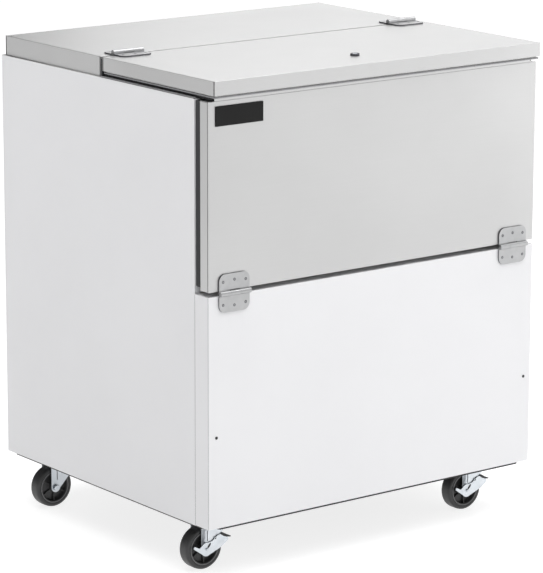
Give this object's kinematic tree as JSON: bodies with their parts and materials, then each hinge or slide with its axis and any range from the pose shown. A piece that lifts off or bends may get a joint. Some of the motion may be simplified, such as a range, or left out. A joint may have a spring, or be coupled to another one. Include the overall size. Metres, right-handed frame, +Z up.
{
  "type": "milk cooler",
  "caption": "Low insulated milk cooler on casters, with a white steel cabinet, a stainless hinged top lid and a stainless drop-down front door.",
  "frame": {"origin": "on the floor under the middle of the bounding box", "axes": "+X towards the right-hand side as seen from the front, +Y towards the back, +Z up; the door faces -Y"},
  "size_m": [0.86, 0.761, 1.0392],
  "materials": {
    "white_paint": "satin",
    "stainless": "satin",
    "liner_steel": "satin",
    "gasket_rubber": "matte",
    "foam": "matte",
    "white_plastic": "satin",
    "black_paint": "satin",
    "black_plastic": "satin",
    "zinc": "satin",
    "tyre": "matte",
    "fins": "satin",
    "black_cast": "satin"
  },
  "bodies": {
    "cabinet": {"back_panel": "white_paint", "base_tray": "black_paint", "caster_plate_front_left": "zinc", "caster_plate_front_right": "zinc", "caster_plate_rear_left": "zinc", "caster_plate_rear_right": "zinc", "compressor": "black_cast", "condenser_coil": "fins", "condenser_fan_motor": "black_cast", "condensing_unit_frame": "zinc", "control_box": "black_plastic", "door_hinge_left_fixed": "zinc", "door_hinge_right_fixed": "zinc", "drain_tube": "white_plastic", "evaporator_coil": "fins", "evaporator_cover": "liner_steel", "evaporator_fan_motor": "black_cast", "floor_rack": "stainless", "foam_insulation": "foam", "front_frame": "white_plastic", "inner_liner": "liner_steel", "lid_hinge_left_fixed": "zinc", "lid_hinge_right_fixed": "zinc", "lower_front_panel": "white_paint", "machine_grille": "white_paint", "panel_screw_left": "black_paint", "panel_screw_right": "black_paint", "power_cord_gland": "black_plastic", "rear_cap_core": "white_plastic", "rear_top_cap": "stainless", "side_panel_left": "white_paint", "side_panel_right": "white_paint", "top_rim": "stainless"},
    "lid": {"lid_skin": "stainless", "lid_liner": "white_plastic", "lid_gasket": "gasket_rubber", "lid_hinge_left_leaf": "zinc", "lid_hinge_right_leaf": "zinc", "lock_barrel": "zinc"},
    "front_door": {"door_skin": "stainless", "door_liner": "white_plastic", "door_gasket": "gasket_rubber", "door_hinge_left_leaf": "zinc", "door_hinge_right_leaf": "zinc", "nameplate": "black_plastic", "lock_keeper": "zinc"},
    "lock_cylinder": {"lock_plug": "zinc"},
    "thermostat_dial": {"thermostat_knob": "black_plastic"},
    "evaporator_fan": {"evaporator_fan_rotor": "black_plastic"},
    "condenser_fan": {"condenser_fan_rotor": "black_plastic"},
    "caster_front_left": {"caster_fork_front_left": "zinc"},
    "wheel_front_left": {"caster_wheel_front_left": "tyre"},
    "pedal_left": {"brake_pedal_left": "zinc"},
    "caster_front_right": {"caster_fork_front_right": "zinc"},
    "wheel_front_right": {"caster_wheel_front_right": "tyre"},
    "pedal_right": {"brake_pedal_right": "zinc"},
    "caster_rear_left": {"caster_fork_rear_left": "zinc"},
    "wheel_rear_left": {"caster_wheel_rear_left": "tyre"},
    "caster_rear_right": {"caster_fork_rear_right": "zinc"},
    "wheel_rear_right": {"caster_wheel_rear_right": "tyre"}
  },
  "joints": [
    {"name": "lid_hinge", "type": "hinge", "parent": "cabinet", "child": "lid", "pos_m": [0, 0.0105, 1.0337], "axis": [-1, 0, 0], "range_deg": [0, 180]},
    {"name": "front_door_hinge", "type": "hinge", "parent": "cabinet", "child": "front_door", "pos_m": [0, -0.3702, 0.5968], "axis": [1, 0, 0], "range_deg": [0, 180]},
    {"name": "lock_turn", "type": "hinge", "parent": "lid", "child": "lock_cylinder", "pos_m": [0, -0.2875, 1], "axis": [0, 0, 1], "range_deg": [0, 90]},
    {"name": "thermostat_turn", "type": "hinge", "parent": "cabinet", "child": "thermostat_dial", "pos_m": [-0.33, 0.37, 0.392], "axis": [0, 1, 0], "range_deg": [0, 270]},
    {"name": "evaporator_fan_spin", "type": "hinge", "parent": "cabinet", "child": "evaporator_fan", "pos_m": [0, 0.248, 0.808], "axis": [0, 1, 0], "continuous": true},
    {"name": "condenser_fan_spin", "type": "hinge", "parent": "cabinet", "child": "condenser_fan", "pos_m": [0.17, 0.296, 0.262], "axis": [0, 1, 0], "continuous": true},
    {"name": "caster_swivel_front_left", "type": "hinge", "parent": "cabinet", "child": "caster_front_left", "pos_m": [-0.3509, -0.2735, 0.098], "axis": [0, 0, 1], "continuous": true},
    {"name": "wheel_spin_front_left", "type": "hinge", "parent": "caster_front_left", "child": "wheel_front_left", "pos_m": [-0.3849, -0.2735, 0.045], "axis": [0, 1, 0], "continuous": true},
    {"name": "brake_pedal_left_press", "type": "hinge", "parent": "caster_front_left", "child": "pedal_left", "pos_m": [-0.3849, -0.2735, 0.045], "axis": [0, 1, 0], "range_deg": [0, 12]},
    {"name": "caster_swivel_front_right", "type": "hinge", "parent": "cabinet", "child": "caster_front_right", "pos_m": [0.3509, -0.2735, 0.098], "axis": [0, 0, 1], "continuous": true},
    {"name": "wheel_spin_front_right", "type": "hinge", "parent": "caster_front_right", "child": "wheel_front_right", "pos_m": [0.3169, -0.2735, 0.045], "axis": [0, 1, 0], "continuous": true},
    {"name": "brake_pedal_right_press", "type": "hinge", "parent": "caster_front_right", "child": "pedal_right", "pos_m": [0.3169, -0.2735, 0.045], "axis": [0, 1, 0], "range_deg": [0, 12]},
    {"name": "caster_swivel_rear_left", "type": "hinge", "parent": "cabinet", "child": "caster_rear_left", "pos_m": [-0.3509, 0.2795, 0.098], "axis": [0, 0, 1], "continuous": true},
    {"name": "wheel_spin_rear_left", "type": "hinge", "parent": "caster_rear_left", "child": "wheel_rear_left", "pos_m": [-0.3849, 0.2795, 0.045], "axis": [0, 1, 0], "continuous": true},
    {"name": "caster_swivel_rear_right", "type": "hinge", "parent": "cabinet", "child": "caster_rear_right", "pos_m": [0.3509, 0.2795, 0.098], "axis": [0, 0, 1], "continuous": true},
    {"name": "wheel_spin_rear_right", "type": "hinge", "parent": "caster_rear_right", "child": "wheel_rear_right", "pos_m": [0.3169, 0.2795, 0.045], "axis": [0, 1, 0], "continuous": true}
  ]
}
